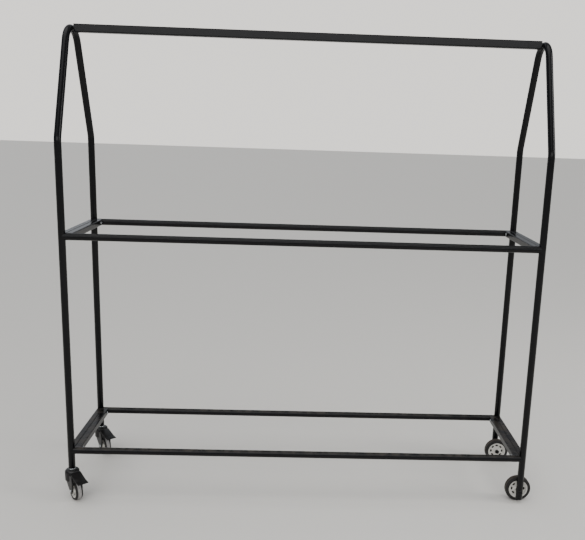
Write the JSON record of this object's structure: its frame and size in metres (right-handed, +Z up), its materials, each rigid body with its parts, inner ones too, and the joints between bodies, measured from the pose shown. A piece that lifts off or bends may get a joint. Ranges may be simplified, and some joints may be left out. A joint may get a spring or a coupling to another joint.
{
  "type": "rolling clothes rack",
  "caption": "Rolling clothes rack: leaning tube end hoops, square hanging rail, open lower and middle frames, braked swivel casters at one end and fixed wheels at the other.",
  "frame": {"origin": "middle of the footprint of the whole rack, on the floor", "axes": "+Z up, +X along the hanging rail from the swivel casters to the fixed wheels, +Y from the front side to the rear side"},
  "size_m": [1.5432, 0.4292, 1.5],
  "materials": {
    "black_powder_coat": "satin black powder coat",
    "black_nylon": "moulded, fine matt grain",
    "black_rubber": "moulded rubber, dusty tread",
    "grey_hub_plastic": "moulded light grey plastic",
    "bright_zinc": "bright zinc plate",
    "white_acetal": "smooth machined"
  },
  "bodies": {
    "frame": {"left_end_hoop": "black_powder_coat", "left_front_leg_insert": "bright_zinc", "left_front_stem": "bright_zinc", "left_front_stem_washer": "bright_zinc", "left_lower_cross_tube": "black_powder_coat", "left_middle_cross_tube": "black_powder_coat", "left_rear_leg_insert": "bright_zinc", "left_rear_stem": "bright_zinc", "left_rear_stem_washer": "bright_zinc", "left_top_rail_bolt": "black_powder_coat", "left_top_rail_plug": "black_nylon", "lower_front_rail": "black_powder_coat", "lower_left_front_shelf_screw": "bright_zinc", "lower_left_rear_shelf_screw": "bright_zinc", "lower_left_shelf_bar": "black_powder_coat", "lower_rear_rail": "black_powder_coat", "lower_right_front_shelf_screw": "bright_zinc", "lower_right_rear_shelf_screw": "bright_zinc", "lower_right_shelf_bar": "black_powder_coat", "middle_front_rail": "black_powder_coat", "middle_left_front_shelf_screw": "bright_zinc", "middle_left_rear_shelf_screw": "bright_zinc", "middle_left_shelf_bar": "black_powder_coat", "middle_rear_rail": "black_powder_coat", "middle_right_front_shelf_screw": "bright_zinc", "middle_right_rear_shelf_screw": "bright_zinc", "middle_right_shelf_bar": "black_powder_coat", "right_end_hoop": "black_powder_coat", "right_front_axle_bolt": "black_powder_coat", "right_front_axle_nut": "black_powder_coat", "right_front_leg_plug": "black_nylon", "right_lower_cross_tube": "black_powder_coat", "right_middle_cross_tube": "black_powder_coat", "right_rear_axle_bolt": "black_powder_coat", "right_rear_axle_nut": "black_powder_coat", "right_rear_leg_plug": "black_nylon", "right_top_rail_bolt": "black_powder_coat", "right_top_rail_plug": "black_nylon", "top_rail": "black_powder_coat"},
    "left_front_caster": {"left_front_housing": "black_nylon", "left_front_axle": "bright_zinc", "left_front_axle_nut": "bright_zinc"},
    "left_front_wheel": {"left_front_tyre": "black_rubber", "left_front_hub": "grey_hub_plastic", "left_front_bush": "white_acetal"},
    "left_front_brake": {"left_front_brake_pedal": "black_nylon"},
    "left_rear_caster": {"left_rear_housing": "black_nylon", "left_rear_axle": "bright_zinc", "left_rear_axle_nut": "bright_zinc"},
    "left_rear_wheel": {"left_rear_tyre": "black_rubber", "left_rear_hub": "grey_hub_plastic", "left_rear_bush": "white_acetal"},
    "left_rear_brake": {"left_rear_brake_pedal": "black_nylon"},
    "right_front_wheel": {"right_front_tyre": "black_rubber", "right_front_hub": "grey_hub_plastic", "right_front_bush": "black_nylon"},
    "right_rear_wheel": {"right_rear_tyre": "black_rubber", "right_rear_hub": "grey_hub_plastic", "right_rear_bush": "black_nylon"}
  },
  "joints": [
    {"name": "left_front_caster_swivel", "type": "hinge", "parent": "frame", "child": "left_front_caster", "pos_m": [-0.74857, -0.1363, 0.0975], "axis": [0, 0, 1], "continuous": true},
    {"name": "left_front_wheel_spin", "type": "hinge", "parent": "left_front_caster", "child": "left_front_wheel", "pos_m": [-0.73186, -0.15622, 0.03222], "axis": [0.766, 0.6428, 0], "continuous": true},
    {"name": "left_front_brake_press", "type": "hinge", "parent": "left_front_caster", "child": "left_front_brake", "pos_m": [-0.72864, -0.16005, 0.0815], "axis": [0.766, 0.6428, 0], "range_deg": [0, 11]},
    {"name": "left_rear_caster_swivel", "type": "hinge", "parent": "frame", "child": "left_rear_caster", "pos_m": [-0.74857, 0.1917, 0.0975], "axis": [0, 0, 1], "continuous": true},
    {"name": "left_rear_wheel_spin", "type": "hinge", "parent": "left_rear_caster", "child": "left_rear_wheel", "pos_m": [-0.73186, 0.17178, 0.03222], "axis": [0.766, 0.6428, 0], "continuous": true},
    {"name": "left_rear_brake_press", "type": "hinge", "parent": "left_rear_caster", "child": "left_rear_brake", "pos_m": [-0.72864, 0.16795, 0.0815], "axis": [0.766, 0.6428, 0], "range_deg": [0, 11]},
    {"name": "right_front_wheel_spin", "type": "hinge", "parent": "frame", "child": "right_front_wheel", "pos_m": [0.72943, -0.1118, 0.04214], "axis": [0, 1, 0], "continuous": true},
    {"name": "right_rear_wheel_spin", "type": "hinge", "parent": "frame", "child": "right_rear_wheel", "pos_m": [0.72943, 0.1672, 0.04214], "axis": [0, 1, 0], "continuous": true}
  ]
}
